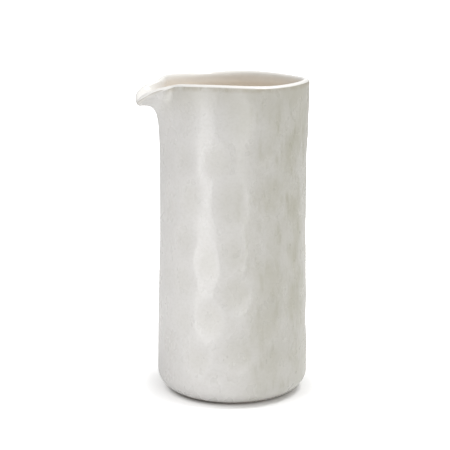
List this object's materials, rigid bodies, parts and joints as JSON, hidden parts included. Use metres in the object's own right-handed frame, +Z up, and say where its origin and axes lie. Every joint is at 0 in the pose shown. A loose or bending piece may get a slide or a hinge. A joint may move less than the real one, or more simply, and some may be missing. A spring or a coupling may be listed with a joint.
{
  "type": "stoneware pouring jug",
  "caption": "Tall hand-thrown stoneware pouring vessel with a pulled lip, finger-pressed wall, satin glaze outside and glossy glaze inside.",
  "frame": {"origin": "on the table plane, on the axis the pot was thrown on, at the middle of the foot ring", "axes": "+Z up along the throwing axis; the pouring lip points along -X"},
  "size_m": [0.1198, 0.1043, 0.2174],
  "materials": {
    "fired_clay": "bare unglazed stoneware, fine grog",
    "satin_glaze": "satin off-white glaze with faint sage and olive mottling",
    "gloss_glaze": "glossy warm white glaze"
  },
  "bodies": {
    "root": {"stoneware_body": "fired_clay", "outer_glaze": "satin_glaze", "liner_glaze": "gloss_glaze"}
  },
  "joints": []
}
